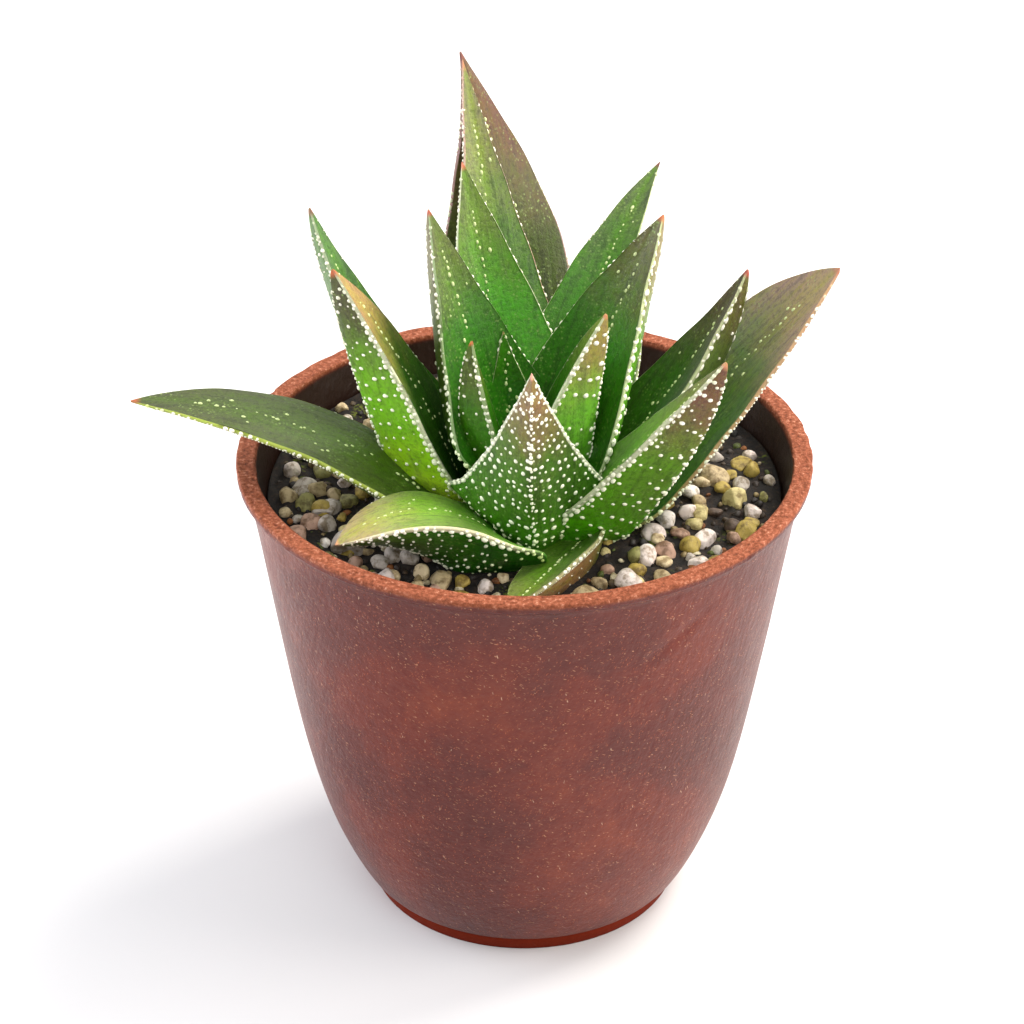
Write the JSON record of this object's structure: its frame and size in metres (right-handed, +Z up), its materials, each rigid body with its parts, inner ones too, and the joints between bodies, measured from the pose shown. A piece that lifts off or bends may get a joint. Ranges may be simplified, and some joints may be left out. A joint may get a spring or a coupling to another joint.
{
  "type": "potted haworthia",
  "caption": "Rosette of thick keeled pointed leaves with raised white dots, planted in gritty soil in a round tapered clay pot.",
  "frame": {"origin": "middle of the underside of the pot's base, on the table", "axes": "+Z up the pot's axis, -Y towards the side that the picture shows, +X to that view's right"},
  "size_m": [0.1079, 0.09, 0.1334],
  "materials": {
    "clay": "satin red-brown clay with fine pale specks",
    "soil": "dark soil with pale grit",
    "stem": null,
    "leaf": null
  },
  "bodies": {
    "root": {"pot": "clay", "soil": "soil", "stem": "stem", "leaf_01": "leaf", "leaf_02": "leaf", "leaf_03": "leaf", "leaf_04": "leaf", "leaf_05": "leaf", "leaf_06": "leaf", "leaf_07": "leaf", "leaf_08": "leaf", "leaf_09": "leaf", "leaf_10": "leaf", "leaf_11": "leaf", "leaf_12": "leaf", "leaf_13": "leaf", "leaf_14": "leaf", "leaf_15": "leaf", "leaf_16": "leaf", "leaf_17": "leaf", "leaf_18": "leaf", "leaf_19": "leaf", "leaf_20": "leaf"}
  },
  "joints": []
}
